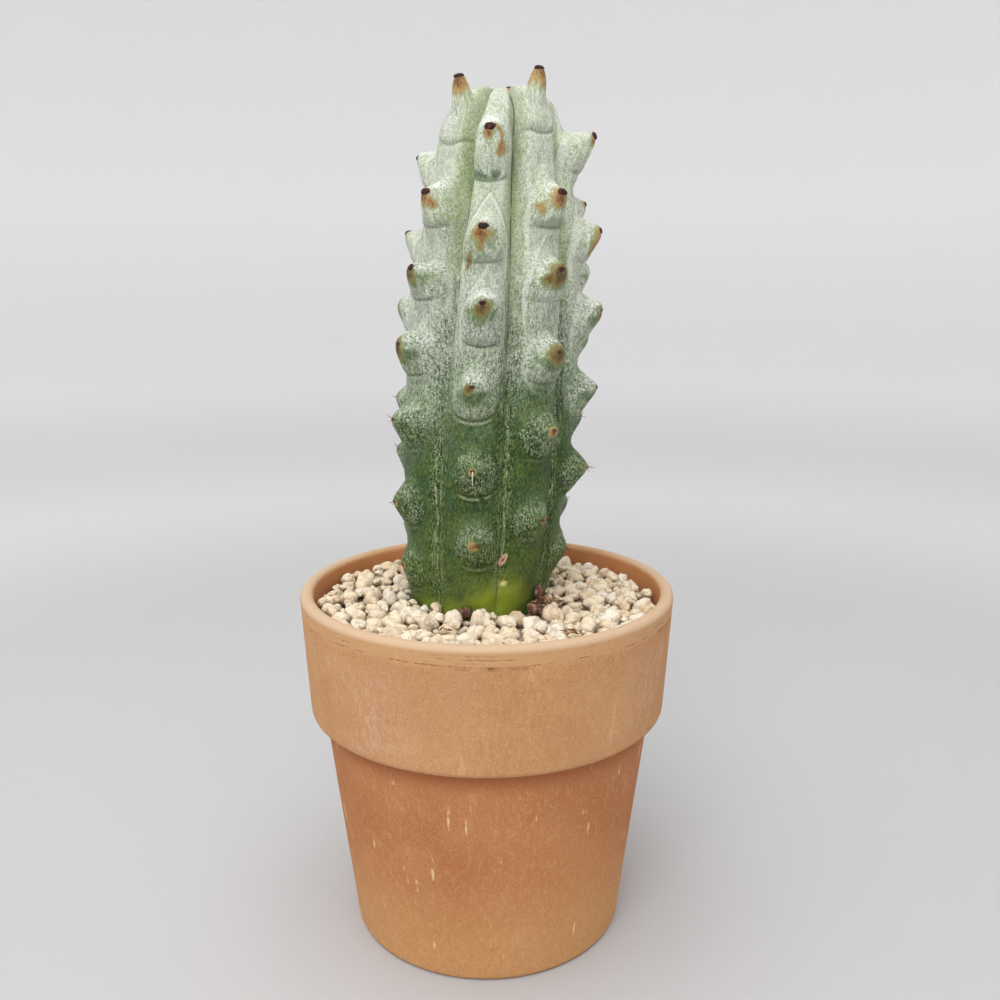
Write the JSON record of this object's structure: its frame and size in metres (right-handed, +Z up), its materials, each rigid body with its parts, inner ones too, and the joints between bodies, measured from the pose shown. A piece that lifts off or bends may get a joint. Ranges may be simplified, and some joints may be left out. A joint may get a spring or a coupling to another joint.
{
  "type": "potted stenocereus beneckei",
  "caption": "Young columnar cactus with knobbly ribs and a chalky bloom, rooted in a collared clay pot of soil topped with pale gravel.",
  "frame": {"origin": "centre of the pot's flat base, on the surface that it stands on", "axes": "+Z up along the pot's axis, -Y towards the pictured front, +X to the right in the picture"},
  "size_m": [0.12, 0.12, 0.2707],
  "materials": {
    "fired_clay": "unglazed, fine grained, matt",
    "soil": "damp crumbly potting mix",
    "gravel": "rounded, pitted, matt",
    "cactus_skin": "green skin under a white waxy bloom",
    "dried_bark": "dry, dull"
  },
  "bodies": {
    "root": {"pot": "fired_clay", "potting_soil": "soil", "gravel_top_dressing": "gravel", "cactus_stem": "cactus_skin", "dried_bit_front": "dried_bark", "dried_bit_right": "dried_bark", "dried_bit_side": "dried_bark"}
  },
  "joints": []
}
